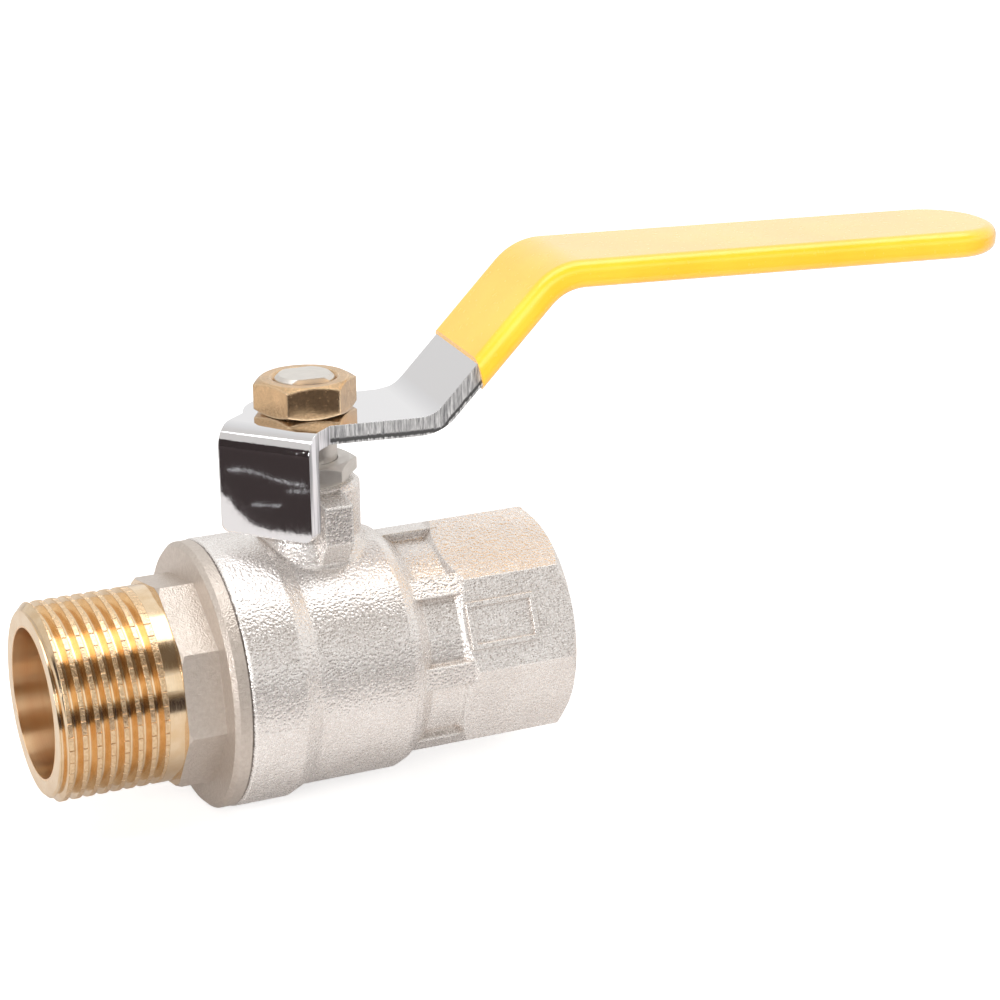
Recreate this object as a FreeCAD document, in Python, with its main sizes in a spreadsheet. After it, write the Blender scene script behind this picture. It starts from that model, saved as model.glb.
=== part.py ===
import FreeCAD, Part
import os
import Sketcher

# Lever-handled ball valve, 3/4 inch, male inlet and female outlet, in millimetres.
# Origin: centre of the ball. +X runs along the pipe towards the female end,
# +Z runs up the stem. The handle is drawn along +X and then turned to its rest angle.

DIMENSIONS = {
    # shared by the shaping tools: how far they run past the metal, and the slack of turned blanks
    "tool_margin": 1.0,
    "blank_margin": 0.05,
    # parallel pipe thread G 3/4
    "thread_major_rad": 13.2205,
    "thread_minor_rad": 12.0585,
    "thread_pitch": 1.814,
    "thread_crest": 0.6,
    "thread_root": 0.24,
    "notch_depth": 0.09,
    "notch_block": 0.6,
    "notch_end_x": -24.95,
    "thread_overlap": 0.12,
    # inlet connector, stations along X
    "male_face_x": -39.2,
    "male_lead": 1.0,
    "thread_stop_x": -24.8,
    "collar_end_x": -22.64,
    "collar_step_rad": 14.04,
    "collar_chamfer": 0.5,
    "inlet_flats": 26.7,
    "inlet_flats_turn": 33.0,
    "flange_face_x": -17.6,
    "flange_rad": 18.0,
    "flange_bevel": 0.6,
    "seam_x": -15.33,
    "spigot_rad": 15.5,
    "spigot_end_x": -7.9,
    "bore_rad": 10.0,
    # housing
    "rim_rad": 18.15,
    "rim_bevel": 0.4,
    "rim_end_x": -7.9,
    "barrel_start_x": -5.3,
    "barrel_rad": 17.05,
    "barrel_end_x": 7.8,
    "barrel_round_x": 9.2,
    "barrel_round_rad": 16.45,
    "neck_start_x": 11.2,
    "neck_rad": 14.8,
    "neck_end_x": 17.8,
    "outlet_start_x": 15.8,
    "outlet_full_x": 17.4,
    "outlet_flats": 30.4,
    "outlet_face_x": 32.3,
    "outlet_edge_rad": 15.2,
    "outlet_corner_rad": 16.46,
    "outlet_thread_x": 17.4,
    "outlet_cone": 1.5,
    "outlet_lead": 1.2,
    "cavity_rad": 14.5,
    "shoulder_x": -7.4,
    "cavity_end_x": 8.0,
    "rib_width": 3.0,
    "rib_root_rad": 13.0,
    "rib_rad": 15.9,
    "rib_start_x": 9.0,
    "frame_length": 10.0,
    "frame_height": 6.4,
    "frame_mid_x": 21.8,
    "frame_line": 0.7,
    "frame_relief": 0.35,
    "frame_depth": 1.0,
    # stem tower and stops
    "tower_rad": 6.85,
    "tower_top_z": 25.2,
    "tower_bevel": 0.6,
    "tower_root_z": 13.5,
    "tower_foot_rad": 8.25,
    "tower_foot_z": 15.45,
    "tower_waist_z": 17.95,
    "bores_foot_z": 9.75,
    "recess_rad": 5.38,
    "recess_top_z": 16.7,
    "stem_bore_rad": 4.08,
    "chamber_floor_z": 19.4,
    "chamber_rad": 5.5,
    "stop_reach": 10.5,
    "stop_foot_reach": 7.65,
    "stop_crest_reach": 6.17,
    "stop_root_z": 15.0,
    "stop_left_x": -1.66,
    "stop_right_x": 2.2,
    "stop_foot_z": 18.9,
    "stop_front_z": 24.05,
    "stop_back_z": 24.95,
    # ball and seats
    "ball_rad": 13.75,
    "seat_gap": 0.05,
    "seat_inner_rad": 10.15,
    "seat_outer_rad": 12.2,
    "seat_front_x": 7.4,
    "seat_back_x": 11.0,
    "slot_width": 5.0,
    "slot_floor_z": 11.25,
    # stem and packing
    "tang_thick": 4.9,
    "tang_length": 8.3,
    "tang_foot_z": 11.4,
    "stem_flange_z": 14.4,
    "stem_flange_rad": 5.3,
    "stem_flange_top_z": 15.85,
    "stem_rad": 4.0,
    "stem_shoulder_z": 32.2,
    "stem_end_rad": 3.95,
    "stem_end_z": 39.6,
    "stem_end_bevel": 0.5,
    "stem_flats": 6.0,
    "ring_groove_z": 17.45,
    "ring_groove_height": 1.1,
    "ring_groove_rad": 3.05,
    "ring_section_rad": 0.5,
    "washer_rad": 5.36,
    "washer_foot_z": 15.9,
    "packing_inner_rad": 4.05,
    "packing_height": 1.5,
    # gland nut
    "gland_neck_z": 25.9,
    "gland_top_z": 28.0,
    "gland_flats": 11.6,
    "gland_turn": -8.9,
    "gland_bevel_rad": 5.6,
    "gland_bevel": 0.6,
    # handle, before it is turned to its rest angle
    "handle_rest_turn": -5.0,
    "plate_thick": 2.5,
    "bend_one_x": 14.7,
    "arm_rise": 46.4,
    "bend_two_x": 32.1,
    "arm_fall": 1.1,
    "arm_tip_x": 99.8,
    "arm_near_y": 9.6,
    "arm_far_y": 7.2,
    "waist_far_y": 5.5,
    "waist_near_y": 8.8,
    "waist_start_x": 7.0,
    "waist_end_x": 11.5,
    "arm_full_x": 15.5,
    "tip_corner_rad": 7.9,
    "head_rad": 8.3,
    "head_side_y": 6.5,
    "bend_one_rad": 4.0,
    "bend_two_rad": 6.3,
    "skirt_turn": 225.0,
    "skirt_reach": 11.4,
    "skirt_width": 13.5,
    "skirt_foot_z": 20.3,
    "skirt_bend_rad": 3.0,
    "skirt_corner_rad": 1.2,
    "handle_hole_slack": 0.05,
    # grip sleeve
    "grip_wall": 0.65,
    "grip_start": 8.8,
    "grip_mouth_turn": 13.0,
    "grip_round": 1.6,
    "grip_waste": 60.0,
    # handle nut
    "nut_flats": 12.0,
    "nut_foot_z": 34.7,
    "nut_top_z": 39.2,
    "nut_turn": -4.6,
    "nut_bevel_rad": 5.75,
    "nut_bevel": 0.65,
    "nut_sink_rad": 4.5,
}

PIPE_AXIS = FreeCAD.Vector(1, 0, 0)
CROSS_AXIS = FreeCAD.Vector(0, 1, 0)
STEM_AXIS = FreeCAD.Vector(0, 0, 1)
RIB_COUNT = 8
NOTCH_COUNT = 44
PLACE_TOLERANCE = 0.02

# distance from the centre to a corner of the hexagons and octagons, from their width across flats
INLET_CORNER = "dims.inlet_flats / 2 / cos(22.5)"
OUTLET_CORNER = "dims.outlet_flats / 2 / cos(22.5)"
GLAND_CORNER = "dims.gland_flats / 2 / cos(30)"
NUT_CORNER = "dims.nut_flats / 2 / cos(30)"

doc = FreeCAD.newDocument("ball_valve")
sheet = doc.addObject("Spreadsheet::Sheet", "dims")
for row, (alias, value) in enumerate(DIMENSIONS.items(), start=1):
    sheet.set("A%d" % row, alias)
    sheet.set("B%d" % row, str(value))
    sheet.setAlias("B%d" % row, alias)
doc.recompute()


def value_of(expression):
    """Number that an expression over the sheet gives now."""
    result = sheet.evalExpression(expression)
    return float(getattr(result, "Value", result))


def bind(feature, **expressions):
    """Bind the named properties of a feature to expressions over the sheet."""
    for name, expression in expressions.items():
        feature.setExpression(name, expression)
    return feature


def add_outline(body, plane_role, corners):
    """Closed sketch through the corners, each held by its two bound distances from the origin."""
    sketch = body.newObject("Sketcher::SketchObject", body.Label + "_outline")
    planes = [item for item in body.Origin.OriginFeatures if item.Role == plane_role]
    sketch.AttachmentSupport = (planes[0], "")
    sketch.MapMode = "FlatFace"
    places = [FreeCAD.Vector(value_of(across), value_of(up), 0) for across, up in corners]
    count = len(places)
    for index in range(count):
        sketch.addGeometry(Part.LineSegment(places[index], places[(index + 1) % count]))
    for index in range(count):
        sketch.addConstraint(Sketcher.Constraint("Coincident", index, 2, (index + 1) % count, 1))
    for index, (across, up) in enumerate(corners):
        held = sketch.addConstraint(Sketcher.Constraint("DistanceX", index, 1, places[index].x))
        sketch.setExpression("Constraints[%d]" % held, across)
        held = sketch.addConstraint(Sketcher.Constraint("DistanceY", index, 1, places[index].y))
        sketch.setExpression("Constraints[%d]" % held, up)
    return sketch


def turned(label, corners, about="X"):
    """Body of revolution: corners are (X, radius) about the pipe axis or (radius, Z) about the stem."""
    body = doc.addObject("PartDesign::Body", label)
    body.Label = label
    role, axis = ("XY_Plane", "H_Axis") if about == "X" else ("XZ_Plane", "V_Axis")
    outline = add_outline(body, role, corners)
    revolution = body.newObject("PartDesign::Revolution", label + "_revolution")
    revolution.Profile = outline
    revolution.ReferenceAxis = (outline, [axis])
    revolution.Angle = 360
    return body


def padded(label, plane_role, corners, length, midplane=True):
    """Body padded from a closed outline on one of its origin planes."""
    body = doc.addObject("PartDesign::Body", label)
    body.Label = label
    outline = add_outline(body, plane_role, corners)
    pad = body.newObject("PartDesign::Pad", label + "_pad")
    pad.Profile = outline
    pad.Midplane = midplane
    bind(pad, Length=length)
    doc.recompute()
    return body


def rounded(body, radius, *points):
    """Fillet the straight edges of a body whose middles lie at the given points in the other two axes."""
    doc.recompute()
    base = body.Tip
    names = []
    for number, edge in enumerate(base.Shape.Edges, start=1):
        middle = edge.BoundBox.Center
        for fixed in points:
            if all(abs(getattr(middle, axis) - place) < PLACE_TOLERANCE for axis, place in fixed.items()):
                names.append("Edge%d" % number)
    fillet = body.newObject("PartDesign::Fillet", body.Label + "_fillet")
    fillet.Base = (base, sorted(set(names)))
    bind(fillet, Radius=radius)
    doc.recompute()
    return fillet


def cylinder(label, radius, height, foot="0", along="Z"):
    """Cylinder on the stem axis or on the pipe axis, starting at its foot."""
    shape = bind(doc.addObject("Part::Cylinder", label), Radius=radius, Height=height)
    if along == "X":
        shape.Placement.Rotation = FreeCAD.Rotation(CROSS_AXIS, 90)
        shape.setExpression("Placement.Base.x", foot)
    else:
        shape.setExpression("Placement.Base.z", foot)
    return shape


def box(label, size, corner=()):
    """Box from its three bound sizes and, where it isn't turned, the bound place of its lowest corner."""
    shape = bind(doc.addObject("Part::Box", label), Length=size[0], Width=size[1], Height=size[2])
    for axis, expression in zip("xyz", corner):
        shape.setExpression("Placement.Base." + axis, expression)
    return shape


def prism(label, sides, corner_rad, height, foot, turn, along="Z"):
    """Regular prism; turn is the angle in degrees of its first corner."""
    shape = doc.addObject("Part::Prism", label)
    shape.Polygon = sides
    bind(shape, Circumradius=corner_rad, Height=height)
    spin = FreeCAD.Rotation(STEM_AXIS, value_of(turn))
    if along == "X":
        shape.Placement.Rotation = FreeCAD.Rotation(CROSS_AXIS, 90).multiply(spin)
        shape.setExpression("Placement.Base.x", foot)
    else:
        shape.Placement.Rotation = spin
        shape.setExpression("Placement.Base.z", foot)
    return shape


def join(label, *shapes):
    fused = doc.addObject("Part::MultiFuse", label)
    fused.Shapes = list(shapes)
    fused.Refine = True
    return fused


def common(label, *shapes):
    shared = doc.addObject("Part::MultiCommon", label)
    shared.Shapes = list(shapes)
    return shared


def cut(label, base, *tools):
    """Base less every tool."""
    tool = tools[0] if len(tools) == 1 else join(label + "_tools", *tools)
    result = doc.addObject("Part::Cut", label)
    result.Base = base
    result.Tool = tool
    result.Refine = True
    result.Label = label
    return result


def thread_groove(label, mouth_rad, root_rad, start_x, length):
    """Helical groove of the pipe thread: wide at the mouth radius and narrow at the root radius.

    Part::Feature, because its section is swept along a helix that starts outside the metal.
    """
    pitch = sheet.thread_pitch
    outward = 1 if mouth_rad > root_rad else -1
    overlap = outward * sheet.thread_overlap
    half_mouth = (pitch - sheet.thread_crest) / 2
    half_root = sheet.thread_root / 2
    slope = (half_mouth - half_root) / abs(mouth_rad - root_rad)
    half_outer = half_mouth + slope * sheet.thread_overlap
    section = Part.makePolygon([
        FreeCAD.Vector(mouth_rad + overlap, 0, -half_outer),
        FreeCAD.Vector(root_rad, 0, -half_root),
        FreeCAD.Vector(root_rad, 0, half_root),
        FreeCAD.Vector(mouth_rad + overlap, 0, half_outer),
        FreeCAD.Vector(mouth_rad + overlap, 0, -half_outer),
    ])
    helix = Part.Wire(Part.makeHelix(pitch, length, mouth_rad))
    groove = doc.addObject("Part::Feature", label)
    groove.Shape = helix.makePipeShell([section], True, True)
    groove.Placement = FreeCAD.Placement(
        FreeCAD.Vector(start_x, 0, 0), FreeCAD.Rotation(CROSS_AXIS, 90)
    )
    return groove


def end_connector():
    """Inlet piece: male thread, octagon for the spanner, flange and threaded spigot."""
    turned_blank = turned("connector_blank", [
        ("dims.male_face_x", "dims.bore_rad"),
        ("dims.male_face_x", "dims.thread_major_rad - dims.male_lead"),
        ("dims.male_face_x + dims.male_lead", "dims.thread_major_rad"),
        ("dims.collar_end_x", "dims.thread_major_rad"),
        ("dims.collar_end_x", "dims.collar_step_rad"),
        ("dims.collar_end_x + dims.collar_chamfer", INLET_CORNER + " + dims.blank_margin"),
        ("dims.flange_face_x", INLET_CORNER + " + dims.blank_margin"),
        ("dims.flange_face_x", "dims.flange_rad - dims.flange_bevel"),
        ("dims.flange_face_x + dims.flange_bevel", "dims.flange_rad"),
        ("dims.seam_x", "dims.flange_rad"),
        ("dims.seam_x", "dims.spigot_rad"),
        ("dims.spigot_end_x", "dims.spigot_rad"),
        ("dims.spigot_end_x", "dims.seat_outer_rad"),
        ("-dims.seat_back_x", "dims.seat_outer_rad"),
        ("-dims.seat_back_x", "dims.bore_rad"),
    ])
    spanner_length = "dims.flange_face_x - dims.collar_end_x"
    ring = cylinder("connector_ring", "dims.flange_rad + dims.tool_margin", spanner_length,
                    "dims.collar_end_x", "X")
    octagon = prism("connector_octagon", 8, INLET_CORNER, spanner_length, "dims.collar_end_x",
                    "180 - dims.inlet_flats_turn", "X")
    waste = cut("connector_waste", ring, octagon)
    groove_start = sheet.male_face_x - sheet.male_lead
    groove = thread_groove("connector_groove", sheet.thread_major_rad, sheet.thread_minor_rad,
                           groove_start, sheet.thread_stop_x - sheet.thread_pitch / 2 - groove_start)
    shaped = cut("connector_shaped", turned_blank, waste)
    notched = cut("connector_notched", shaped, crest_notches())
    return cut("end_connector", notched, groove)


def crest_notches():
    """Square bars along the male thread; one edge of each bar scores a V into the crests."""
    bars = []
    for index in range(NOTCH_COUNT):
        bar = box("notch_bar_%d" % index, ("dims.notch_end_x - dims.male_face_x + dims.tool_margin",
                                           "dims.notch_block", "dims.notch_block"))
        turn = FreeCAD.Rotation(PIPE_AXIS, 360 / NOTCH_COUNT * index)
        edge = turn.multVec(FreeCAD.Vector(sheet.male_face_x - sheet.tool_margin, 0,
                                           sheet.thread_major_rad - sheet.notch_depth))
        bar.Placement = FreeCAD.Placement(edge, turn.multiply(FreeCAD.Rotation(PIPE_AXIS, 45)))
        bars.append(bar)
    compound = doc.addObject("Part::Compound", "notch_bars")
    compound.Links = bars
    return compound


def stop_lug(label, side):
    """Cast stop on one side of the tower: side is 1 for +Y and -1 for -Y."""
    corners = [
        ("%d * dims.tower_rad / 2" % side, "dims.stop_root_z"),
        ("%d * dims.stop_foot_reach" % side, "dims.stop_root_z"),
        ("%d * dims.stop_reach" % side, "dims.stop_foot_z"),
        ("%d * dims.stop_reach" % side, "dims.stop_front_z"),
        ("%d * dims.stop_crest_reach" % side, "dims.stop_back_z"),
        ("%d * dims.tower_rad / 2" % side, "dims.stop_back_z"),
    ]
    lug = padded(label, "YZ_Plane", corners, "dims.stop_right_x - dims.stop_left_x", False)
    lug.setExpression("Placement.Base.x", "dims.stop_left_x")
    return lug


def housing_blank():
    """Outside of the housing, still solid."""
    shell = turned("housing_shell", [
        ("dims.seam_x", "0"),
        ("dims.seam_x", "dims.rim_rad - dims.rim_bevel"),
        ("dims.seam_x + dims.rim_bevel", "dims.rim_rad"),
        ("dims.rim_end_x", "dims.rim_rad"),
        ("dims.barrel_start_x", "dims.barrel_rad"),
        ("dims.barrel_end_x", "dims.barrel_rad"),
        ("dims.barrel_round_x", "dims.barrel_round_rad"),
        ("dims.neck_start_x", "dims.neck_rad"),
        ("dims.neck_end_x", "dims.neck_rad"),
        ("dims.neck_end_x", "0"),
    ])
    outlet_round = turned("outlet_round", [
        ("dims.outlet_start_x", "0"),
        ("dims.outlet_start_x", "dims.neck_rad"),
        ("dims.outlet_full_x", "dims.outlet_corner_rad"),
        ("dims.outlet_face_x - (dims.outlet_corner_rad - dims.outlet_edge_rad)", "dims.outlet_corner_rad"),
        ("dims.outlet_face_x", "dims.outlet_edge_rad"),
        ("dims.outlet_face_x", "0"),
    ])
    octagon = prism("outlet_octagon", 8, OUTLET_CORNER, "dims.outlet_face_x - dims.outlet_start_x",
                    "dims.outlet_start_x", "0", "X")
    outlet = common("outlet_end", outlet_round, octagon)
    tower = turned("stem_tower", [
        ("0", "dims.tower_root_z"),
        ("dims.tower_foot_rad", "dims.tower_root_z"),
        ("dims.tower_foot_rad", "dims.tower_foot_z"),
        ("dims.tower_rad", "dims.tower_waist_z"),
        ("dims.tower_rad", "dims.tower_top_z - dims.tower_bevel"),
        ("dims.tower_rad - dims.tower_bevel", "dims.tower_top_z"),
        ("0", "dims.tower_top_z"),
    ], about="Z")
    lugs = [stop_lug("stop_front", -1), stop_lug("stop_back", 1)]
    return join("housing_blank", shell, outlet, tower, name_frame(), *neck_ribs(), *lugs)


def neck_ribs():
    """Ribs along the neck, one for each corner of the outlet octagon."""
    ribs = []
    for index in range(RIB_COUNT):
        rib = box("neck_rib_%d" % index, ("dims.neck_end_x - dims.rib_start_x", "dims.rib_width",
                                          "dims.rib_rad - dims.rib_root_rad"))
        turn = FreeCAD.Rotation(PIPE_AXIS, 360 / RIB_COUNT * index)
        corner = FreeCAD.Vector(sheet.rib_start_x, -sheet.rib_width / 2, sheet.rib_root_rad)
        rib.Placement = FreeCAD.Placement(turn.multVec(corner), turn)
        ribs.append(rib)
    return ribs


def name_frame():
    """Raised rectangular border, empty inside, on the outlet octagon's upper front flat."""
    outer = box("frame_outer", ("dims.frame_length", "dims.frame_depth + dims.frame_relief",
                                "dims.frame_height"))
    inner = box("frame_inner", ("dims.frame_length - 2 * dims.frame_line", "4 * dims.frame_depth",
                                "dims.frame_height - 2 * dims.frame_line"),
                ("dims.frame_line", "-dims.frame_depth", "dims.frame_line"))
    border = cut("frame_border", outer, inner)
    turn = FreeCAD.Rotation(PIPE_AXIS, -22.5)
    corner = FreeCAD.Vector(sheet.frame_mid_x - sheet.frame_length / 2,
                            -sheet.outlet_flats / 2 - sheet.frame_relief, -sheet.frame_height / 2)
    border.Placement = FreeCAD.Placement(turn.multVec(corner), turn)
    return border


def housing():
    """Housing with the ball's cavity, the seat's pocket, the stem's bores and the female thread."""
    cavity = turned("housing_cavity", [
        ("dims.seam_x - dims.tool_margin", "0"),
        ("dims.seam_x - dims.tool_margin", "dims.spigot_rad"),
        ("dims.shoulder_x", "dims.spigot_rad"),
        ("dims.shoulder_x", "dims.cavity_rad"),
        ("dims.cavity_end_x", "dims.cavity_rad"),
        ("dims.cavity_end_x", "dims.seat_outer_rad"),
        ("dims.seat_back_x", "dims.seat_outer_rad"),
        ("dims.seat_back_x", "dims.bore_rad"),
        ("dims.outlet_thread_x - dims.outlet_cone", "dims.bore_rad"),
        ("dims.outlet_thread_x", "dims.thread_minor_rad"),
        ("dims.outlet_face_x - dims.outlet_lead", "dims.thread_minor_rad"),
        ("dims.outlet_face_x", "dims.thread_minor_rad + dims.outlet_lead"),
        ("dims.outlet_face_x + dims.tool_margin", "dims.thread_minor_rad + dims.outlet_lead"),
        ("dims.outlet_face_x + dims.tool_margin", "0"),
    ])
    stem_bores = turned("stem_bores", [
        ("0", "dims.bores_foot_z"),
        ("dims.recess_rad", "dims.bores_foot_z"),
        ("dims.recess_rad", "dims.recess_top_z"),
        ("dims.stem_bore_rad", "dims.recess_top_z"),
        ("dims.stem_bore_rad", "dims.chamber_floor_z"),
        ("dims.chamber_rad", "dims.chamber_floor_z"),
        ("dims.chamber_rad", "dims.tower_top_z + dims.tool_margin"),
        ("0", "dims.tower_top_z + dims.tool_margin"),
    ], about="Z")
    groove = thread_groove("housing_groove", sheet.thread_minor_rad, sheet.thread_major_rad,
                           sheet.outlet_thread_x + sheet.thread_pitch,
                           sheet.outlet_face_x - sheet.outlet_thread_x)
    bored = cut("housing_bored", housing_blank(), cavity, stem_bores)
    return cut("housing", bored, groove)


def seat_ring(label, side):
    """PTFE seat with a spherical face; side is -1 at the inlet and 1 at the outlet."""
    ring = turned(label + "_ring", [
        ("%d * dims.seat_front_x" % side, "dims.seat_inner_rad"),
        ("%d * dims.seat_front_x" % side, "dims.seat_outer_rad"),
        ("%d * dims.seat_back_x" % side, "dims.seat_outer_rad"),
        ("%d * dims.seat_back_x" % side, "dims.seat_inner_rad"),
    ])
    sphere = bind(doc.addObject("Part::Sphere", label + "_sphere"), Radius="dims.ball_rad + dims.seat_gap")
    return cut(label, ring, sphere)


def joint_seal():
    """Flat ring between the spigot's end and the housing's shoulder."""
    return turned("body_joint_seal", [
        ("dims.spigot_end_x", "dims.cavity_rad"),
        ("dims.spigot_end_x", "dims.spigot_rad"),
        ("dims.shoulder_x", "dims.spigot_rad"),
        ("dims.shoulder_x", "dims.cavity_rad"),
    ])


def ball():
    """Bored ball with the stem's slot across its top."""
    sphere = bind(doc.addObject("Part::Sphere", "ball_sphere"), Radius="dims.ball_rad")
    bore = cylinder("ball_bore", "dims.bore_rad", "4 * dims.ball_rad", "-2 * dims.ball_rad", "X")
    slot = box("ball_slot", ("dims.slot_width", "4 * dims.ball_rad", "dims.ball_rad"),
               ("-dims.slot_width / 2", "-2 * dims.ball_rad", "dims.slot_floor_z"))
    return cut("ball", sphere, bore, slot)


def stem():
    """Stem: tang, blow-out flange, shank with the ring groove, and double-D upper end."""
    shank = turned("stem_shank", [
        ("0", "dims.stem_flange_z"),
        ("dims.stem_flange_rad", "dims.stem_flange_z"),
        ("dims.stem_flange_rad", "dims.stem_flange_top_z"),
        ("dims.stem_rad", "dims.stem_flange_top_z"),
        ("dims.stem_rad", "dims.ring_groove_z"),
        ("dims.ring_groove_rad", "dims.ring_groove_z"),
        ("dims.ring_groove_rad", "dims.ring_groove_z + dims.ring_groove_height"),
        ("dims.stem_rad", "dims.ring_groove_z + dims.ring_groove_height"),
        ("dims.stem_rad", "dims.stem_shoulder_z"),
        ("dims.stem_end_rad", "dims.stem_shoulder_z"),
        ("dims.stem_end_rad", "dims.stem_end_z - dims.stem_end_bevel"),
        ("dims.stem_end_rad - dims.stem_end_bevel", "dims.stem_end_z"),
        ("0", "dims.stem_end_z"),
    ], about="Z")
    tang_block = box("tang_block", ("dims.tang_thick", "dims.tang_length",
                                    "dims.stem_flange_top_z - dims.tang_foot_z"),
                     ("-dims.tang_thick / 2", "-dims.tang_length / 2", "dims.tang_foot_z"))
    tang_round = cylinder("tang_round", "dims.stem_rad", "dims.stem_flange_z", "dims.tang_foot_z")
    tang = common("stem_tang", tang_block, tang_round)
    flats = [
        box("stem_flat_%s" % name, ("4 * dims.stem_rad", "dims.stem_rad", "dims.stem_end_z"),
            ("-2 * dims.stem_rad", place, "dims.stem_shoulder_z"))
        for name, place in (("far", "dims.stem_flats / 2"), ("near", "-dims.stem_flats / 2 - dims.stem_rad"))
    ]
    return cut("stem", join("stem_solid", shank, tang), *flats)


def stem_ring():
    """O-ring in the stem's groove."""
    ring = doc.addObject("Part::Torus", "stem_o_ring")
    bind(ring, Radius1="dims.ring_groove_rad + dims.ring_section_rad", Radius2="dims.ring_section_rad")
    ring.setExpression("Placement.Base.z", "dims.ring_groove_z + dims.ring_groove_height / 2")
    return ring


def flat_ring(label, inner, outer, foot, height):
    """Flat ring on the stem's axis."""
    top = "%s + %s" % (foot, height)
    return turned(label, [(inner, foot), (outer, foot), (outer, top), (inner, top)], about="Z")


def gland_nut():
    """Nut that screws down into the tower and loads the packing."""
    turned_blank = turned("gland_blank", [
        ("dims.stem_bore_rad", "dims.chamber_floor_z + 2 * dims.packing_height"),
        ("dims.chamber_rad", "dims.chamber_floor_z + 2 * dims.packing_height"),
        ("dims.chamber_rad", "dims.gland_neck_z"),
        (GLAND_CORNER + " + dims.blank_margin", "dims.gland_neck_z"),
        (GLAND_CORNER + " + dims.blank_margin", "dims.gland_top_z - dims.gland_bevel"),
        ("dims.gland_bevel_rad", "dims.gland_top_z"),
        ("dims.stem_bore_rad", "dims.gland_top_z"),
    ], about="Z")
    hexagon = prism("gland_hexagon", 6, GLAND_CORNER, "dims.gland_top_z",
                    "dims.chamber_floor_z", "dims.gland_turn")
    return common("gland_nut", turned_blank, hexagon)


def strip_face(start_x, tip_x, away):
    """Side-view corners of one face of the cranked strip; away is its distance below the top face."""
    flat_top = "dims.stem_shoulder_z + dims.plate_thick"
    crest = "(%s + (dims.bend_two_x - dims.bend_one_x) * tan(dims.arm_rise))" % flat_top
    half_one = "tan(dims.arm_rise / 2)"
    half_two = "tan((dims.arm_rise + dims.arm_fall) / 2)"
    flat_z = "%s - (%s)" % (flat_top, away)
    return [
        (start_x, flat_z),
        ("dims.bend_one_x + (%s) * %s" % (away, half_one), flat_z),
        ("dims.bend_two_x + (%s) * (sin(dims.arm_rise) - cos(dims.arm_rise) * %s)" % (away, half_two),
         "%s - (%s) * (cos(dims.arm_rise) + sin(dims.arm_rise) * %s)" % (crest, away, half_two)),
        (tip_x, "%s - (%s - dims.bend_two_x) * tan(dims.arm_fall) - (%s)" % (crest, tip_x, away)),
    ]


def arm_profile(label, wall, start_x, tip_x):
    """Side view of the cranked strip, thickened by wall on both faces, padded across the arm."""
    upper = strip_face(start_x, tip_x, "-(%s)" % wall)
    lower = strip_face(start_x, tip_x, "dims.plate_thick + %s" % wall)
    body = padded(label, "XZ_Plane", upper + lower[::-1], "4 * dims.arm_near_y")
    bends = [
        (upper[1], "dims.bend_one_rad"),
        (lower[1], "dims.bend_one_rad + dims.plate_thick"),
        (upper[2], "dims.bend_two_rad + dims.plate_thick"),
        (lower[2], "dims.bend_two_rad"),
    ]
    for (across, up), radius in bends:
        rounded(body, radius, {"x": value_of(across), "z": value_of(up)})
    return body


def arm_plan(label, wall, head_end):
    """Plan view from the corners at the head to the rounded tip, widened by wall all round."""
    near = "-(dims.arm_near_y + %s)" % wall
    far = "dims.arm_far_y + %s" % wall
    tip = "dims.arm_tip_x + %s" % wall
    corners = [(tip, near), (tip, far)] + head_end
    body = padded(label, "XY_Plane", corners, "4 * dims.bend_two_x", False)
    rounded(body, "dims.tip_corner_rad + %s" % wall,
            {"x": value_of(tip), "y": value_of(near)}, {"x": value_of(tip), "y": value_of(far)})
    return body


def skirt():
    """Flange bent down from the head; its edges meet the stops at both ends of the travel."""
    top = "dims.stem_shoulder_z + dims.plate_thick"
    inner = "dims.skirt_reach - dims.plate_thick"
    body = padded("handle_skirt", "XZ_Plane", [
        ("0", "dims.stem_shoulder_z"), (inner, "dims.stem_shoulder_z"), (inner, "dims.skirt_foot_z"),
        ("dims.skirt_reach", "dims.skirt_foot_z"), ("dims.skirt_reach", top), ("0", top),
    ], "dims.skirt_width")
    rounded(body, "dims.skirt_bend_rad", {"x": value_of("dims.skirt_reach"), "z": value_of(top)})
    rounded(body, "dims.skirt_bend_rad - dims.plate_thick",
            {"x": value_of(inner), "z": value_of("dims.stem_shoulder_z")})
    middle = value_of("dims.skirt_reach - dims.plate_thick / 2")
    half = value_of("dims.skirt_width / 2")
    foot = value_of("dims.skirt_foot_z")
    rounded(body, "dims.skirt_corner_rad",
            {"x": middle, "y": half, "z": foot}, {"x": middle, "y": -half, "z": foot})
    body.Placement.Rotation = FreeCAD.Rotation(STEM_AXIS, sheet.skirt_turn)
    return body


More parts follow.
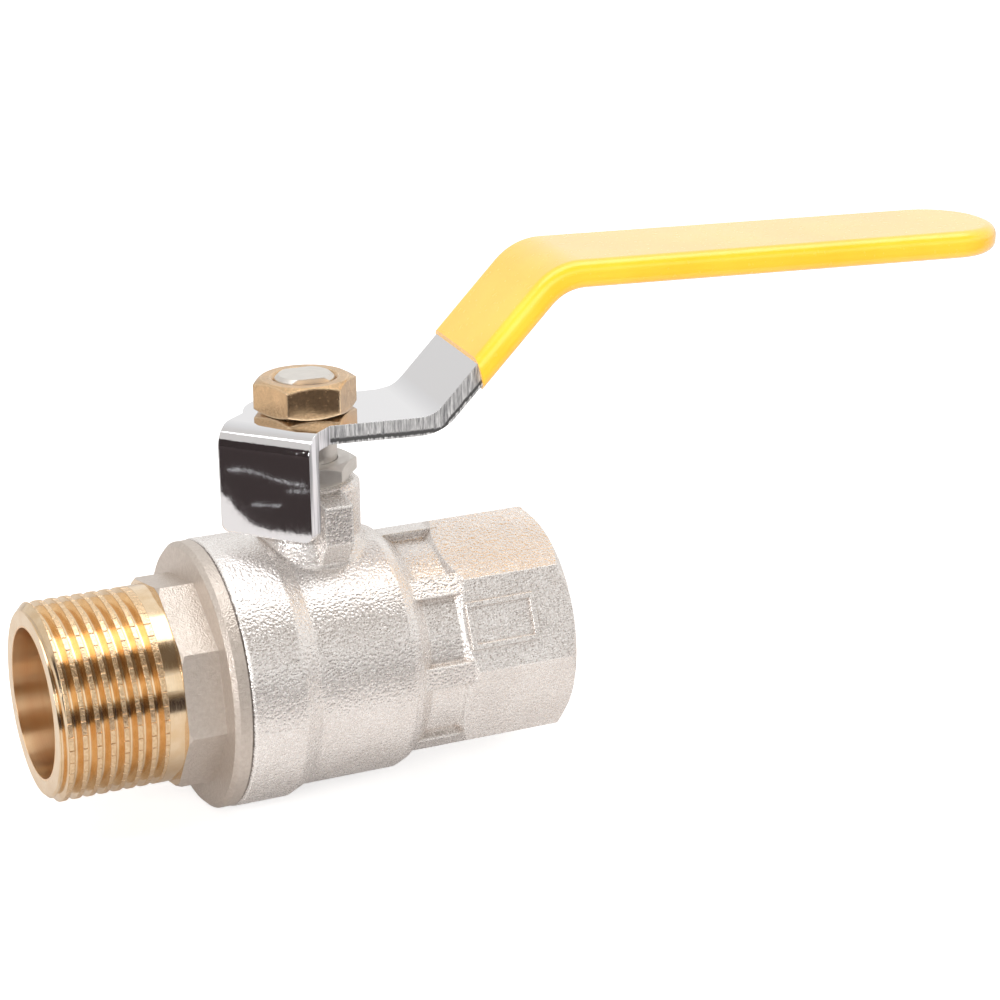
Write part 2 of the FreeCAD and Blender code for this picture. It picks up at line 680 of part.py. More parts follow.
def lever():
    """Steel handle: head with its double-D hole, skirt and cranked arm."""
    side = arm_profile("arm_side", "0", "-dims.head_rad", "dims.arm_tip_x")
    plan = arm_plan("arm_plan", "0", [
        ("dims.arm_full_x", "dims.arm_far_y"),
        ("dims.waist_end_x", "dims.waist_far_y"),
        ("dims.waist_start_x", "dims.waist_far_y"),
        ("0", "dims.head_side_y"),
        ("0", "-dims.waist_near_y"),
        ("dims.waist_end_x", "-dims.arm_near_y"),
    ])
    arm = common("arm", side, plan)
    head = cylinder("handle_head", "dims.head_rad", "dims.plate_thick", "dims.stem_shoulder_z")
    hole_round = cylinder("hole_round", "dims.stem_end_rad + dims.handle_hole_slack",
                          "4 * dims.plate_thick", "dims.stem_shoulder_z - dims.plate_thick")
    hole_flats = box("hole_flats", ("4 * dims.stem_rad", "dims.stem_flats + 2 * dims.handle_hole_slack",
                                    "4 * dims.plate_thick"),
                     ("-2 * dims.stem_rad", "-dims.stem_flats / 2 - dims.handle_hole_slack",
                      "dims.stem_shoulder_z - dims.plate_thick"))
    hole = common("handle_hole", hole_round, hole_flats)
    return cut("lever", join("handle_solid", arm, head, skirt()), hole)


def lever_grip(handle):
    """Dipped plastic sleeve over the arm, rounded along its edges."""
    side = arm_profile("grip_side", "dims.grip_wall", "-dims.head_rad", "dims.arm_tip_x + dims.grip_wall")
    plan = arm_plan("grip_plan", "dims.grip_wall", [
        ("0", "dims.arm_far_y + dims.grip_wall"),
        ("0", "-(dims.arm_near_y + dims.grip_wall)"),
    ])
    sleeve = common("grip_sleeve", side, plan)
    mouth = FreeCAD.Vector(
        value_of("dims.bend_one_x + dims.grip_start * cos(dims.arm_rise)"),
        0,
        value_of("dims.stem_shoulder_z + dims.plate_thick + dims.grip_start * sin(dims.arm_rise)"),
    )
    size = sheet.grip_waste
    waste = box("grip_waste", ("dims.grip_waste", "dims.grip_waste", "dims.grip_waste"))
    turn = FreeCAD.Rotation(CROSS_AXIS, -sheet.grip_mouth_turn)
    corner = turn.multVec(FreeCAD.Vector(-size, -size / 2, -size / 2))
    waste.Placement = FreeCAD.Placement(mouth + corner, turn)
    trimmed = cut("grip_trimmed", sleeve, waste)
    doc.recompute()
    soft = doc.addObject("Part::Fillet", "grip_soft")
    soft.Base = trimmed
    soft.Edges = [(number, sheet.grip_round, sheet.grip_round) for number in long_edges(trimmed.Shape)]
    return cut("lever_grip", soft, handle)


def long_edges(shape):
    """Numbers of the edges along the sleeve's sides and tip.

    Left out are the edges of its open mouth, those straight across a face where a bend begins or ends,
    and the short upright ones at the tip's corners.
    """
    mouth_x = value_of("dims.bend_one_x + (dims.grip_start + dims.grip_round) * cos(dims.arm_rise)")
    full_width = value_of("dims.arm_near_y + dims.arm_far_y - dims.grip_wall")
    numbers = []
    for number, edge in enumerate(shape.Edges, start=1):
        size = edge.BoundBox
        at_mouth = size.XMax < mouth_x
        straight_across = size.YLength > full_width and size.XLength < PLACE_TOLERANCE
        upright = size.YLength < PLACE_TOLERANCE and size.ZLength > sheet.plate_thick
        short = edge.Length < 2 * (sheet.plate_thick + sheet.grip_wall)
        if not (at_mouth or straight_across or (upright and short)):
            numbers.append(number)
    return numbers


def lever_nut():
    """Thin hexagon nut with both ends bevelled and a countersunk hole."""
    turned_blank = turned("nut_blank", [
        ("dims.stem_end_rad", "dims.nut_foot_z"),
        ("dims.nut_bevel_rad", "dims.nut_foot_z"),
        (NUT_CORNER + " + dims.blank_margin", "dims.nut_foot_z + dims.nut_bevel"),
        (NUT_CORNER + " + dims.blank_margin", "dims.nut_top_z - dims.nut_bevel"),
        ("dims.nut_bevel_rad", "dims.nut_top_z"),
        ("dims.nut_sink_rad", "dims.nut_top_z"),
        ("dims.stem_end_rad", "dims.nut_top_z - (dims.nut_sink_rad - dims.stem_end_rad)"),
    ], about="Z")
    hexagon = prism("nut_hexagon", 6, NUT_CORNER,
                    "dims.nut_top_z - dims.nut_foot_z", "dims.nut_foot_z", "dims.nut_turn")
    return common("lever_nut", turned_blank, hexagon)


def build():
    """All sub-parts by node name."""
    handle = lever()
    parts = {
        "housing": housing(),
        "end_connector": end_connector(),
        "body_joint_seal": joint_seal(),
        "seat_ring_inlet": seat_ring("seat_ring_inlet", -1),
        "seat_ring_outlet": seat_ring("seat_ring_outlet", 1),
        "ball": ball(),
        "stem": stem(),
        "stem_o_ring": stem_ring(),
        "thrust_washer": flat_ring("thrust_washer", "dims.packing_inner_rad", "dims.washer_rad",
                                   "dims.washer_foot_z", "dims.recess_top_z - dims.washer_foot_z"),
        "packing_ring_lower": flat_ring("packing_ring_lower", "dims.packing_inner_rad", "dims.chamber_rad",
                                        "dims.chamber_floor_z", "dims.packing_height"),
        "packing_ring_upper": flat_ring("packing_ring_upper", "dims.packing_inner_rad", "dims.chamber_rad",
                                        "dims.chamber_floor_z + dims.packing_height", "dims.packing_height"),
        "gland_nut": gland_nut(),
        "lever": handle,
        "lever_grip": lever_grip(handle),
        "lever_nut": lever_nut(),
    }
    doc.recompute()
    return parts


def check(parts):
    """Stop if any object failed to compute or any sub-part is empty or invalid."""
    for item in doc.Objects:
        if "Invalid" in item.State or "Error" in item.State:
            raise RuntimeError("failed object: " + item.Label)
    for node, part in parts.items():
        shape = part.Shape
        if shape.isNull() or not shape.isValid() or len(shape.Solids) != 1:
            raise RuntimeError("bad shape: %s, %d solids" % (node, len(shape.Solids)))


sub_parts = build()
check(sub_parts)
rest = FreeCAD.Placement(FreeCAD.Vector(0, 0, 0), STEM_AXIS, sheet.handle_rest_turn)
for turning in ("ball", "stem", "stem_o_ring", "lever", "lever_grip", "lever_nut"):
    piece = sub_parts[turning]
    piece.Placement = rest.multiply(piece.Placement)

os.makedirs("parts", exist_ok=True)
for node, part in sub_parts.items():
    part.Label = node
    part.Shape.exportStep("parts/" + node + ".step")
    print(node, round(part.Shape.Volume, 1), "mm3")
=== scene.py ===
import bpy
import math
from mathutils import Matrix, Vector


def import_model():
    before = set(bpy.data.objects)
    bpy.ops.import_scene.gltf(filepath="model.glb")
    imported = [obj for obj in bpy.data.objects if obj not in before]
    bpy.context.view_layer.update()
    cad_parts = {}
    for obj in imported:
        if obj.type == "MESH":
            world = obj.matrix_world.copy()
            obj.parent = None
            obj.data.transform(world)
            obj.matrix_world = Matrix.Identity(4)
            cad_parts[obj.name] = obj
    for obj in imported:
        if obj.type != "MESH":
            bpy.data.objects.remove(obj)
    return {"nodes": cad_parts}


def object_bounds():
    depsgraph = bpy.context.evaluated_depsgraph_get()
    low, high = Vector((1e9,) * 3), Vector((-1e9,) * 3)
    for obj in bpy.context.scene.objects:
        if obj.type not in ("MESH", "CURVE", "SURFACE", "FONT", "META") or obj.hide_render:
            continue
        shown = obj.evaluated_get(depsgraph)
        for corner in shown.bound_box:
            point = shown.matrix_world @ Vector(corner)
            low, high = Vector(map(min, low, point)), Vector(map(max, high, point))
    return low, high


# Looks of a lever-handled ball valve. Lengths are in metres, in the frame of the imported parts:
# +X along the pipe towards the female end, +Z up the stem.

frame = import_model()
cad_low, cad_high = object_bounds()

MM = 0.001

# Where things are on the valve: along the pipe from the ball's centre, and up from the pipe axis.
THREAD_END_X = -24.9 * MM
BRASS_END_X = -22.64 * MM
SEAM_X = -15.33 * MM
FRAME_START_X = 15.6 * MM
THREAD_CREST_RADIUS = 13.2 * MM
BORE_RADIUS = 10.0 * MM
STRIP_TOP_Z = 34.7 * MM
FIRST_BEND_X = 14.7 * MM
ARM_SLOPE = 1.05
SKIRT_SIDE_ANGLE = math.radians(-50)

SEAM_LINE_DARK = (0.26, 0.22, 0.19, 1)
WHITE = (1, 1, 1, 1)


# ---------------------------------------------------------------- node helpers

def new_material(name):
    """Empty node material with an output, returned with its tree."""
    material = bpy.data.materials.new(name)
    material.use_nodes = True
    tree = material.node_tree
    tree.nodes.clear()
    return material, tree


def add(tree, kind, inputs=None, **settings):
    """New node; inputs are numbers, colours or the sockets to link from."""
    node = tree.nodes.new(kind)
    for name, value in settings.items():
        setattr(node, name, value)
    for key, value in (inputs or {}).items():
        if isinstance(value, bpy.types.NodeSocket):
            tree.links.new(value, node.inputs[key])
        else:
            node.inputs[key].default_value = value
    return node


def math_node(tree, operation, first, second=0.0, third=0.0):
    inputs = {0: first, 1: second, 2: third}
    return add(tree, "ShaderNodeMath", inputs, operation=operation).outputs[0]


def object_coords(tree):
    return add(tree, "ShaderNodeTexCoord").outputs["Object"]


def stretched(tree, vector, scale):
    """Coordinates scaled along each axis."""
    return add(tree, "ShaderNodeMapping", {"Vector": vector, "Scale": scale}).outputs[0]


def noise(tree, vector, scale, detail=2.0, roughness=0.5):
    return add(tree, "ShaderNodeTexNoise", {
        "Vector": vector, "Scale": scale, "Detail": detail, "Roughness": roughness}).outputs["Fac"]


def grains(tree, vector, scale):
    """Distance to the nearest cell centre of a Voronoi pattern."""
    return add(tree, "ShaderNodeTexVoronoi", {"Vector": vector, "Scale": scale}).outputs["Distance"]


def remap(tree, value, low, high, to_low, to_high, smooth=False):
    """Value carried from low..high to to_low..to_high and held at the ends."""
    node = add(tree, "ShaderNodeMapRange", {
        "Value": value, "From Min": low, "From Max": high, "To Min": to_low, "To Max": to_high})
    if smooth:
        node.interpolation_type = "SMOOTHSTEP"
    return node.outputs[0]


def mix_colour(tree, factor, first, second):
    """First where the factor is 0, second where it is 1."""
    inputs = {0: factor, 6: first, 7: second}
    return add(tree, "ShaderNodeMix", inputs, data_type="RGBA").outputs[2]


def mix_value(tree, factor, first, second):
    inputs = {0: factor, 2: first, 3: second}
    return add(tree, "ShaderNodeMix", inputs, data_type="FLOAT").outputs[0]


def spread(tree, value, low, high):
    """0 to 1 as the value goes from low to high."""
    return remap(tree, value, low, high, 0.0, 1.0)


def times(tree, first, second):
    return math_node(tree, "MULTIPLY", first, second)


def plus(tree, first, second):
    return math_node(tree, "ADD", first, second)


def rounded_edges(tree, radius):
    """Normal that turns softly round sharp edges."""
    return add(tree, "ShaderNodeBevel", {"Radius": radius}, samples=4).outputs[0]


def edge_wear_and_highlight(tree, softened):
    """1 along edges, where the softened normal leaves the surface's own, and 0 on open faces."""
    own = add(tree, "ShaderNodeNewGeometry").outputs["Normal"]
    agree = add(tree, "ShaderNodeVectorMath", {0: own, 1: softened}, operation="DOT_PRODUCT")
    return spread(tree, agree.outputs["Value"], 0.985, 0.90)


def crevices(tree, reach):
    """1 in corners that the piece's own walls close in on within reach, 0 in the open."""
    look_out = add(tree, "ShaderNodeAmbientOcclusion", {"Distance": reach},
                   samples=6, only_local=True)
    return remap(tree, look_out.outputs["AO"], 0.45, 0.85, 1.0, 0.0)


def bump(tree, height, distance, strength=1.0, normal=None):
    inputs = {"Height": height, "Distance": distance, "Strength": strength}
    if normal is not None:
        inputs["Normal"] = normal
    return add(tree, "ShaderNodeBump", inputs).outputs[0]


def surface_output(tree, shader):
    output = add(tree, "ShaderNodeOutputMaterial")
    tree.links.new(shader.outputs[0], output.inputs["Surface"])


def finish_shader(tree, inputs):
    """Principled shader with these inputs, linked to the output."""
    surface_output(tree, add(tree, "ShaderNodeBsdfPrincipled", inputs))


def split(tree, vector):
    return add(tree, "ShaderNodeSeparateXYZ", {0: vector}).outputs


# ---------------------------------------------------------------- materials

def seam_shade(tree, x):
    """1 in the dark line where the housing and the connector's flange meet, 0 elsewhere."""
    away = math_node(tree, "ABSOLUTE", math_node(tree, "SUBTRACT", x, SEAM_X))
    return remap(tree, away, 0.04 * MM, 0.16 * MM, 1.0, 0.0)


def blasted_nickel(name):
    """Nickel plate over a shot-blasted skin: glittering pits, rubbed edges with a painted
    highlight, painted shade in the corners.
    """
    material, tree = new_material(name)
    place = object_coords(tree)
    x = split(tree, place)[0]
    pits = grains(tree, place, 2600.0)
    fine = noise(tree, place, 2600.0, 3.0, 0.6)
    slow = noise(tree, place, 260.0, 2.0)
    stain = spread(tree, noise(tree, place, 160.0, 3.0, 0.6), 0.35, 0.70)
    near_frame = spread(tree, x, FRAME_START_X, FRAME_START_X + 0.2 * MM)
    softened = rounded_edges(tree, mix_value(tree, near_frame, 0.55 * MM, 0.20 * MM))
    wear_and_highlight = edge_wear_and_highlight(tree, softened)
    skin = times(tree, plus(tree, pits, fine), mix_value(tree, wear_and_highlight, 1.0, 0.3))
    normal = bump(tree, slow, 0.16 * MM, 0.3, softened)
    normal = bump(tree, skin, 0.070 * MM, 1.0, normal)

    clean = mix_colour(tree, spread(tree, fine, 0.35, 0.65),
                       (0.88, 0.83, 0.80, 1), (1.0, 0.98, 0.96, 1))
    colour = mix_colour(tree, times(tree, stain, 0.3), clean, (0.70, 0.65, 0.62, 1))
    # edges lightened towards white: partly rubbed wear, partly a painted highlight
    colour = mix_colour(tree, wear_and_highlight, colour, (1.0, 0.98, 0.95, 1))
    # painted shade: the colour turns dark brown in the corners that the housing's own walls close
    # in on
    painted_corner_shade = times(tree, crevices(tree, 1.2 * MM), 0.70)
    colour = mix_colour(tree, painted_corner_shade, colour, (0.42, 0.33, 0.27, 1))
    finish_shader(tree, {
        "Base Color": mix_colour(tree, seam_shade(tree, x), colour, SEAM_LINE_DARK),
        "Metallic": mix_value(tree, wear_and_highlight, 0.88, 0.60),
        "Roughness": mix_value(tree, wear_and_highlight, remap(tree, pits, 0.1, 0.8, 0.20, 0.34), 0.20),
        "Normal": normal,
    })
    return material


def machined_nickel(name):
    """Nickel plate over turned brass: light tool marks and a slight mottle."""
    material, tree = new_material(name)
    place = object_coords(tree)
    mottle = noise(tree, place, 900.0, 2.0, 0.5)
    marks = noise(tree, stretched(tree, place, (600.0, 600.0, 6000.0)), 1.0, 2.0)
    normal = bump(tree, mottle, 0.006 * MM, 0.6, rounded_edges(tree, 0.15 * MM))
    finish_shader(tree, {
        "Base Color": mix_colour(tree, mottle, (0.66, 0.63, 0.59, 1), (0.78, 0.75, 0.71, 1)),
        "Metallic": 0.85,
        "Roughness": remap(tree, marks, 0.3, 0.7, 0.30, 0.42),
        "Normal": normal,
    })
    return material


def connector_metal():
    """Inlet connector: bare brass where the thread is cut, nickel from the spanner flats on."""
    material, tree = new_material("inlet_brass_and_nickel")
    place = object_coords(tree)
    x, y, z = split(tree, place)
    radius = math_node(tree, "SQRT", plus(tree, times(tree, y, y), times(tree, z, z)))
    plated = spread(tree, x, BRASS_END_X - 0.01 * MM, BRASS_END_X + 0.03 * MM)
    crest = spread(tree, radius, THREAD_CREST_RADIUS - 0.10 * MM, THREAD_CREST_RADIUS - 0.02 * MM)
    threaded = remap(tree, x, THREAD_END_X, THREAD_END_X + 0.05 * MM, 1.0, 0.0)
    scored = times(tree, crest, threaded)
    in_bore = remap(tree, radius, BORE_RADIUS + 0.2 * MM, BORE_RADIUS + 0.3 * MM, 1.0, 0.0)

    speck = noise(tree, place, 2600.0, 3.0, 0.7)
    mottle = noise(tree, place, 1800.0, 3.0, 0.6)
    lathe = noise(tree, stretched(tree, place, (9000.0, 500.0, 500.0)), 1.0, 3.0)
    rings = noise(tree, stretched(tree, place, (420.0, 20.0, 20.0)), 1.0, 2.0)
    grain = grains(tree, place, 4200.0)

    brass = mix_colour(tree, spread(tree, noise(tree, place, 500.0, 3.0), 0.35, 0.65),
                       (0.87, 0.65, 0.41, 1), (0.94, 0.75, 0.52, 1))
    wear_and_highlight = mix_colour(tree, spread(tree, speck, 0.4, 0.6),
                      (0.82, 0.57, 0.34, 1), (0.96, 0.73, 0.47, 1))
    turned = mix_colour(tree, spread(tree, rings, 0.36, 0.62),
                        (0.91, 0.59, 0.32, 1), (0.98, 0.71, 0.43, 1))
    brass = mix_colour(tree, scored, brass, wear_and_highlight)
    brass = mix_colour(tree, in_bore, brass, turned)
    nickel = mix_colour(tree, mottle, (0.54, 0.47, 0.41, 1), (0.78, 0.71, 0.65, 1))
    nickel = mix_colour(tree, seam_shade(tree, x), nickel, SEAM_LINE_DARK)

    brass_rough = mix_value(tree, scored, remap(tree, lathe, 0.3, 0.7, 0.10, 0.20), 0.26)
    brass_rough = mix_value(tree, in_bore, brass_rough, 0.28)
    tool_marks = times(tree, lathe, mix_value(tree, in_bore, 0.10, 0.4))
    depth = mix_value(tree, plated, tool_marks, plus(tree, grain, mottle))
    depth = plus(tree, depth, times(tree, scored, speck))
    finish_shader(tree, {
        "Base Color": mix_colour(tree, plated, brass, nickel),
        "Metallic": mix_value(tree, plated, 1.0, 0.85),
        "Roughness": mix_value(tree, plated, brass_rough, 0.38),
        "Anisotropic": times(tree, in_bore, 0.95),
        "Anisotropic Rotation": 0.25,
        "Tangent": add(tree, "ShaderNodeTangent", direction_type="RADIAL", axis="X").outputs[0],
        "Normal": bump(tree, depth, 0.07 * MM, 0.8, rounded_edges(tree, 0.10 * MM)),
    })
    return material


def lever_steel():
    """Bright chromed strip; its cut edges keep the streaks and the torn lower band of the shear."""
    material, tree = new_material("chromed_strip")
    place = object_coords(tree)
    x, _, z = split(tree, place)
    facing = split(tree, add(tree, "ShaderNodeTexCoord").outputs["Normal"])
    cut_edge = spread(tree, math_node(tree, "ABSOLUTE", facing[1]), 0.93, 0.985)
    sideways = plus(tree, times(tree, facing[0], math.cos(SKIRT_SIDE_ANGLE)),
                    times(tree, facing[1], math.sin(SKIRT_SIDE_ANGLE)))
    skirt_side = spread(tree, math_node(tree, "ABSOLUTE", sideways), 0.94, 0.98)
    any_edge = math_node(tree, "MAXIMUM", cut_edge, skirt_side)

    climb = math_node(tree, "MAXIMUM", math_node(tree, "SUBTRACT", x, FIRST_BEND_X), 0.0)
    top = math_node(tree, "MULTIPLY_ADD", climb, ARM_SLOPE, STRIP_TOP_Z)
    below = math_node(tree, "SUBTRACT", top, z)
    streaks = noise(tree, stretched(tree, place, (3200.0, 300.0, 260.0)), 1.0, 4.0, 0.75)
    ragged = math_node(tree, "MULTIPLY_ADD", streaks, 0.8 * MM, below)
    torn = times(tree, spread(tree, ragged, 2.0 * MM, 2.2 * MM),
                 remap(tree, ragged, 2.6 * MM, 2.7 * MM, 1.0, 0.0))
    edge_colour = mix_colour(tree, spread(tree, streaks, 0.35, 0.65),
                             (0.20, 0.20, 0.21, 1), (0.80, 0.80, 0.80, 1))
    edge_colour = mix_colour(tree, torn, edge_colour, (0.10, 0.10, 0.10, 1))
    # painted reflection: dark and light vertical bands in the colour of the skirt's side edge
    reflection_bands = noise(tree, stretched(tree, place, (1500.0, 1500.0, 60.0)), 1.0, 2.0)
    side_painted_reflection = mix_colour(tree, spread(tree, reflection_bands, 0.38, 0.60),
                             (0.34, 0.34, 0.36, 1), (0.86, 0.86, 0.90, 1))
    colour = mix_colour(tree, cut_edge, (0.84, 0.84, 0.86, 1), edge_colour)

    peel = noise(tree, place, 2200.0, 2.0)
    ripple = noise(tree, place, 200.0, 2.0)
    on_bend = times(tree, spread(tree, facing[2], 0.02, 0.10),
                    remap(tree, facing[2], 0.5, 0.9, 1.0, 0.0))
    peel_depth = times(tree, peel, mix_value(tree, on_bend, 0.05, 1.0))
    normal = bump(tree, ripple, 0.010 * MM, 0.4, rounded_edges(tree, 0.22 * MM))
    normal = bump(tree, peel_depth, 0.016 * MM, 0.8, normal)
    normal = bump(tree, times(tree, streaks, cut_edge), 0.12 * MM, 0.8, normal)
    finish_shader(tree, {
        "Base Color": mix_colour(tree, skirt_side, colour, side_painted_reflection),
        "Metallic": mix_value(tree, any_edge, 1.0, 0.45),
        "Roughness": mix_value(tree, any_edge, remap(tree, peel, 0.3, 0.8, 0.02, 0.05), 0.34),
        "Normal": normal,
    })
    return material


def zinc_nut():
    """Yellow zinc plate: satin bronze gold, speckled on the flats, with a painted highlight on the
    edges.
    """
    material, tree = new_material("yellow_zinc")
    place = object_coords(tree)
    speck = noise(tree, place, 2200.0, 4.0, 0.7)
    cloud = noise(tree, place, 350.0, 2.0)
    tone = plus(tree, times(tree, speck, 0.6), times(tree, cloud, 0.4))
    softened = rounded_edges(tree, 0.55 * MM)
    wear_and_highlight = edge_wear_and_highlight(tree, softened)
    colour = mix_colour(tree, spread(tree, tone, 0.38, 0.62),
                        (0.58, 0.40, 0.23, 1), (0.80, 0.54, 0.31, 1))
    skin = times(tree, speck, mix_value(tree, wear_and_highlight, 1.0, 0.3))
    finish_shader(tree, {
        # the pale gold colour on the edges is a painted highlight
        "Base Color": mix_colour(tree, wear_and_highlight, colour, (0.98, 0.74, 0.48, 1)),
        "Metallic": mix_value(tree, wear_and_highlight, 0.95, 1.0),
        "Roughness": mix_value(tree, wear_and_highlight, remap(tree, speck, 0.3, 0.7, 0.18, 0.28), 0.12),
        "Normal": bump(tree, skin, 0.035 * MM, 0.7, softened),
    })
    return material


def dipped_plastic():
    """Glossy yellow dipped plastic with the slight waves of a coat that has run and set."""
    material, tree = new_material("yellow_dip")
    place = object_coords(tree)
    waves = noise(tree, place, 90.0, 2.0)
    peel = noise(tree, place, 1200.0, 2.0)
    normal = bump(tree, waves, 0.35 * MM, 0.35)
    normal = bump(tree, peel, 0.01 * MM, 0.5, normal)
    finish_shader(tree, {
        "Base Color": mix_colour(tree, spread(tree, waves, 0.35, 0.65),
                                 (1.0, 0.50, 0.024, 1), (1.0, 0.55, 0.036, 1)),
        "Roughness": remap(tree, peel, 0.3, 0.7, 0.20, 0.28),
        "Sheen Weight": 0.30,
        "Sheen Roughness": 0.3,
        "Coat Weight": 0.75,
        "Coat IOR": 1.5,
        "Coat Roughness": 0.26,
        "Normal": normal,
    })
    return material


def ptfe():
    material, tree = new_material("ptfe")
    place = object_coords(tree)
    mottle = noise(tree, place, 900.0, 3.0)
    finish_shader(tree, {
        "Base Color": mix_colour(tree, mottle, (0.80, 0.80, 0.77, 1), (0.92, 0.92, 0.90, 1)),
        "Roughness": 0.5,
        "Normal": bump(tree, mottle, 0.02 * MM, 0.5),
    })
    return material


def nitrile():
    material, tree = new_material("nitrile")
    place = object_coords(tree)
    mottle = noise(tree, place, 1500.0, 3.0)
    finish_shader(tree, {
        "Base Color": mix_colour(tree, mottle, (0.012, 0.012, 0.012, 1), (0.03, 0.03, 0.03, 1)),
        "Roughness": remap(tree, mottle, 0.3, 0.7, 0.40, 0.55),
    })
    return material


def polished_chrome():
    material, tree = new_material("polished_chrome")
    place = object_coords(tree)
    haze = noise(tree, place, 700.0, 3.0)
    finish_shader(tree, {
        "Base Color": mix_colour(tree, haze, (0.80, 0.80, 0.82, 1), (0.90, 0.90, 0.91, 1)),
        "Metallic": 1.0,
        "Roughness": remap(tree, haze, 0.3, 0.7, 0.04, 0.12),
    })
    return material


# ---------------------------------------------------------------- dress the parts

nodes = frame["nodes"]
plastic_white = ptfe()
looks = {
    "housing": blasted_nickel("housing_nickel"),
    "end_connector": connector_metal(),
    "gland_nut": machined_nickel("gland_nickel"),
    "stem": machined_nickel("stem_nickel"),
    "lever": lever_steel(),
    "lever_grip": dipped_plastic(),
    "lever_nut": zinc_nut(),
    "ball": polished_chrome(),
    "stem_o_ring": nitrile(),
    "body_joint_seal": plastic_white,
    "seat_ring_inlet": plastic_white,
    "seat_ring_outlet": plastic_white,
    "thrust_washer": plastic_white,
    "packing_ring_lower": plastic_white,
    "packing_ring_upper": plastic_white,
}
for name, material in looks.items():
    for slot in nodes[name].material_slots:
        slot.material = material


# ---------------------------------------------------------------- stage and light

FLOOR_Z = cad_low.z - 0.1 * MM
FLOOR_HALF = 6.0
DARK_LEVEL = 0.14
NEAR_BLACK = (0.036, 0.028, 0.028, 1)


def staged_sheet(name, corners, material, only_mirrored=False):
    """Flat polygon that belongs to the stage and not to the valve."""
    mesh = bpy.data.meshes.new(name)
    mesh.from_pydata(corners, [], [tuple(range(len(corners)))])
    mesh.materials.append(material)
    thing = bpy.data.objects.new(name, mesh)
    bpy.context.collection.objects.link(thing)
    if only_mirrored:
        thing.visible_camera = False
        thing.visible_diffuse = False
        thing.visible_shadow = False
        thing.visible_transmission = False


def card(name, corners, glow=0.0):
    """Sheet that only reflections show: near black, or a white light where glow is above 0."""
    material, tree = new_material(name + "_paint")
    if glow > 0.0:
        surface_output(tree, add(tree, "ShaderNodeEmission", {"Color": WHITE, "Strength": glow}))
    else:
        surface_output(tree, add(tree, "ShaderNodeBsdfDiffuse", {"Color": NEAR_BLACK}))
    staged_sheet(name, corners, material, only_mirrored=True)


def outline(name, points):
    """Black sheet lying on the floor, outside the picture."""
    card(name, [(x * MM, y * MM, FLOOR_Z + MM) for x, y in points])


def strip(name, points, width):
    """Light strip lying on the black sheet."""
    far_side = [(x - width, y) for x, y in reversed(points)]
    card(name, [(x * MM, y * MM, FLOOR_Z + 1.5 * MM) for x, y in list(points) + far_side], 0.9)


def floor():
    """Pale floor, as white as the paper behind it to the camera and dimmer in reflections."""
    material, tree = new_material("floor_paint")
    lit = add(tree, "ShaderNodeBsdfDiffuse", {"Color": (0.70, 0.70, 0.70, 1)})
    glow = add(tree, "ShaderNodeEmission", {"Color": WHITE, "Strength": 0.60})
    bright = add(tree, "ShaderNodeAddShader", {0: lit.outputs[0], 1: glow.outputs[0]})
    dim = add(tree, "ShaderNodeBsdfDiffuse", {"Color": (0.66, 0.64, 0.63, 1)})
    seen = add(tree, "ShaderNodeLightPath").outputs["Is Camera Ray"]
    shaders = {0: seen, 1: dim.outputs[0], 2: bright.outputs[0]}
    surface_output(tree, add(tree, "ShaderNodeMixShader", shaders))
    corners = [(-1, -1), (1, -1), (1, 1), (-1, 1)]
    staged_sheet("floor", [(x * FLOOR_HALF, y * FLOOR_HALF, FLOOR_Z) for x, y in corners], material)


def world():
    """Bright paper behind and above; on the camera's side a pale wall between two dark bands."""
    place = bpy.data.worlds.new("studio")
    bpy.context.scene.world = place
    place.use_nodes = True
    tree = place.node_tree
    tree.nodes.clear()
    x, y, z = split(tree, add(tree, "ShaderNodeTexCoord").outputs["Generated"])
    wall = times(tree, remap(tree, z, 0.06, 0.16, 0.0, 1.0, smooth=True),
                 remap(tree, z, 0.42, 0.56, 1.0, 0.0, smooth=True))
    in_front = mix_value(tree, wall, DARK_LEVEL, 1.0)
    behind = remap(tree, y, -0.40, -0.24, 0.0, 1.0, smooth=True)
    above = remap(tree, z, 0.93, 0.97, 0.0, 1.0, smooth=True)
    level = mix_value(tree, behind, in_front, remap(tree, x, -0.40, 0.40, 0.72, 0.95))
    level = mix_value(tree, above, level, 0.75)
    seen = add(tree, "ShaderNodeLightPath").outputs["Is Camera Ray"]
    level = mix_value(tree, seen, level, 1.0)
    paper = mix_colour(tree, spread(tree, level, DARK_LEVEL, 0.80),
                       (1.0, 0.78, 0.58, 1), (1.0, 0.99, 0.975, 1))
    background = add(tree, "ShaderNodeBackground", {"Color": paper, "Strength": level})
    output = add(tree, "ShaderNodeOutputWorld")
    tree.links.new(background.outputs[0], output.inputs["Surface"])


def area_light(name, place, target, size, power, mirrored=True):
    """Soft box; one that isn't mirrored lights the parts without showing in them."""
    data = bpy.data.lights.new(name, "AREA")
    data.shape = "RECTANGLE"
    data.size, data.size_y = size
    data.energy = power
    lamp = bpy.data.objects.new(name, data)
    bpy.context.collection.objects.link(lamp)
    lamp.location = place
    lamp.rotation_euler = (Vector(target) - Vector(place)).to_track_quat("-Z", "Y").to_euler()
    lamp.visible_glossy = mirrored


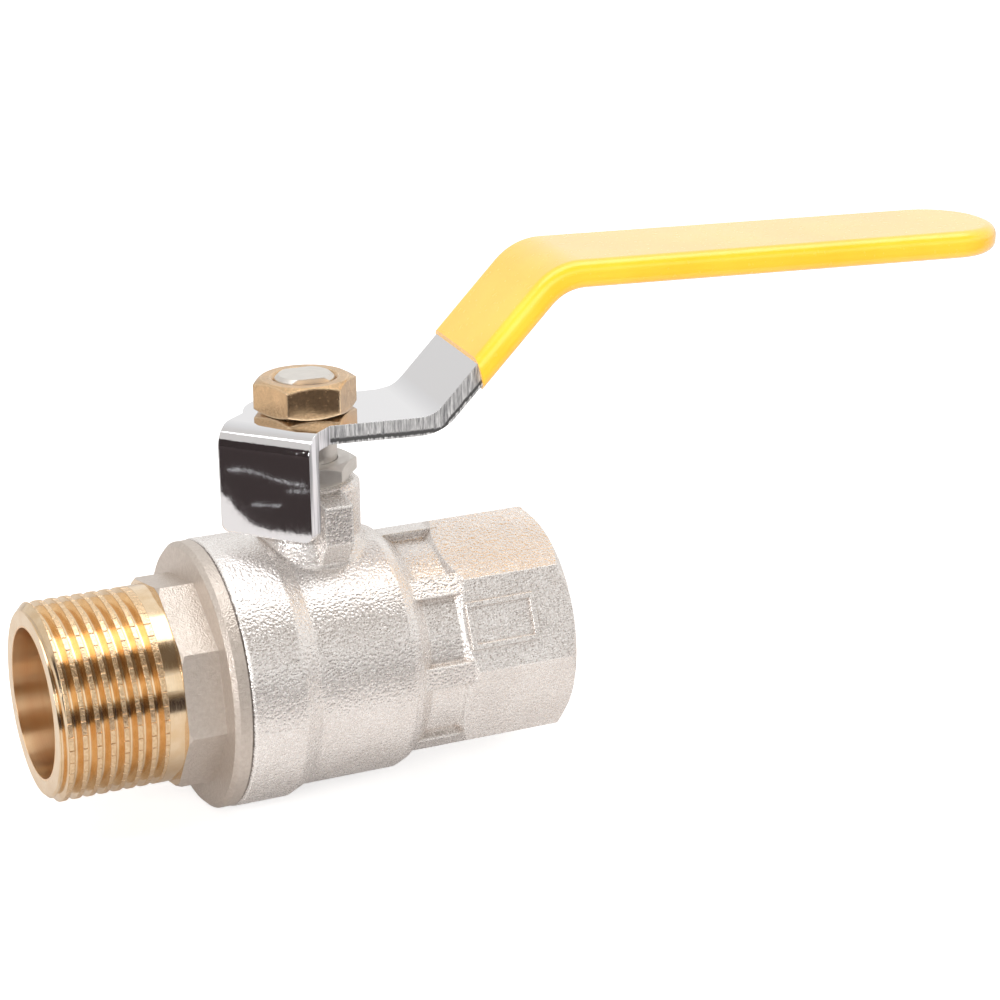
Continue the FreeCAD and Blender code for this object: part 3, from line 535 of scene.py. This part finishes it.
floor()
world()
area_light("overhead_box", (0.02, -0.08, 0.80), (0.02, -0.08, 0.0), (1.25, 0.50), 3.7)
area_light("front_fill", (-0.35, -0.90, 0.30), (0.02, 0.0, 0.0), (0.9, 0.7), 8.0, mirrored=False)
# a small lamp on the left that reaches into the inlet's bore
area_light("left_lamp", (-0.45, -0.22, 0.12), (-0.038, 0.009, -0.004), (0.20, 0.09), 0.7)
# the white sheet that the valve stands on ends in front of it and to its left, beyond these points;
# those near its rounded corner and the strips' points follow a scratch program's trace of the
# photo's reflections, which breaks the rule on such tables; report.md tells how, under "Looks"
outline("dark_table", (
    (3000, -75), (-60, -75), (-106, -60), (-114, -36), (-117, -30), (-120, -26.5), (-124, -24.2),
    (-130, -23.0), (-139, -22.2), (-150, -20.5), (-175, -10), (-3000, 600), (-3000, -3000),
    (3000, -3000)))
strip("seam_long", ((-155, -24.6), (-154, -28.2), (-147, -31.8), (-141, -37)), 0.7)
strip("seam_short", ((-139.5, -33.2), (-137.4, -38)), 0.5)
strip("seam_low", ((-133, -25.6), (-131, -30.4)), 0.6)
# what stands on the far left of the room, seen only in the bend above the skirt
far_left = ((-0.40, -0.02), (0.10, -0.02), (0.10, 0.30), (-0.40, 0.30))
card("dark_left", [(-0.60, y, z) for y, z in far_left])


# ---------------------------------------------------------------- camera

CAMERA_PLACE = Vector((-116.69, -313.79, 132.32)) * MM
CAMERA_YAW = math.radians(24.77)
CAMERA_PITCH = math.radians(18.335)
CAMERA_ROLL = math.radians(-0.678)
CAMERA_LENS = 94.8

camera_data = bpy.data.cameras.new("camera")
camera_data.lens = CAMERA_LENS
camera_data.sensor_width = 36.0
camera_data.clip_start = 0.01
camera_data.clip_end = 20.0
camera = bpy.data.objects.new("camera", camera_data)
bpy.context.collection.objects.link(camera)
camera.matrix_world = (
    Matrix.Translation(CAMERA_PLACE)
    @ Matrix.Rotation(-CAMERA_YAW, 4, "Z")
    @ Matrix.Rotation(math.pi / 2 - CAMERA_PITCH, 4, "X")
    @ Matrix.Rotation(CAMERA_ROLL, 4, "Z")
)
bpy.context.scene.camera = camera
bpy.context.scene.view_settings.view_transform = "Standard"
bpy.context.scene.view_settings.look = "None"
